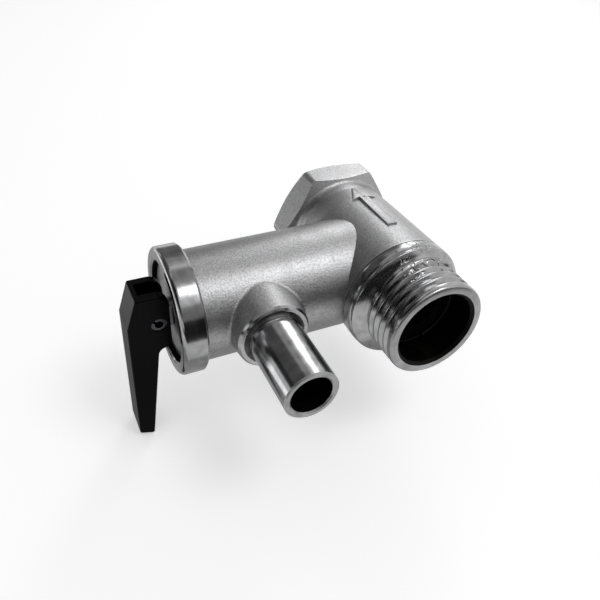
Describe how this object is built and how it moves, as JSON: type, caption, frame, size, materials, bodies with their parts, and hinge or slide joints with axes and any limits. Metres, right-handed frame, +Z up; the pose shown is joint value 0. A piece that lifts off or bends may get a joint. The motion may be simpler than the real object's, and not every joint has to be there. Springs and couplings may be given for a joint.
{
  "type": "boiler safety valve",
  "caption": "Tee-shaped safety valve for a water heater: threaded run with check valve, side branch with spring relief valve, drain spout and flip lever.",
  "frame": {"origin": "centre of the female heater mouth, on the hexagon's end face", "axes": "+Y out of the heater mouth along the run, -X along the branch towards the lever, +Z up with the lever's arm hanging down"},
  "size_m": [0.0686, 0.0527, 0.0415],
  "materials": {
    "nickel_plated_brass": "bead-blasted forging with turned and polished ends, nickel plated",
    "turned_nickel_brass": "turned, nickel plated",
    "bare_brass": "turned, unplated",
    "black_rubber": "moulded nitrile rubber",
    "spring_steel": "drawn stainless wire",
    "pin_steel": "rolled spring steel",
    "black_plastic": "moulded, fine matt texture",
    "check_plastic": "moulded black acetal"
  },
  "bodies": {
    "body": {"valve_body": "nickel_plated_brass", "adjusting_plug": "turned_nickel_brass", "stem_o_ring": "black_rubber", "relief_spring": "spring_steel", "check_seat": "check_plastic", "seat_o_ring": "black_rubber", "check_cage": "check_plastic", "check_spring": "spring_steel", "check_retainer": "spring_steel"},
    "plunger": {"plunger": "bare_brass", "seal_disc": "black_rubber"},
    "stem": {"stem": "turned_nickel_brass"},
    "lever": {"lever": "black_plastic", "lever_pin": "pin_steel"},
    "poppet": {"check_poppet": "check_plastic", "check_seal": "black_rubber"}
  },
  "joints": [
    {"name": "relief_lift", "type": "slide", "parent": "body", "child": "plunger", "axis": [-1, 0, 0], "range_m": [0, 0.0045], "deforming": ["relief_spring"]},
    {"name": "stem_swivel", "type": "hinge", "parent": "plunger", "child": "stem", "pos_m": [-0.03, -0.0225, 0], "axis": [-1, 0, 0], "continuous": true},
    {"name": "lever_flip", "type": "hinge", "parent": "stem", "child": "lever", "pos_m": [-0.0482, -0.0225, 0], "axis": [0, 1, 0], "range_deg": [0, 90]},
    {"name": "check_lift", "type": "slide", "parent": "body", "child": "poppet", "axis": [0, 1, 0], "range_m": [0, 0.003], "stiffness_N_per_m": 60, "springref_m": -0.003, "deforming": ["check_spring"]}
  ],
  "couplings": [
    {"joint": "lever_flip", "follows": "relief_lift", "rad_per_m": 349}
  ]
}
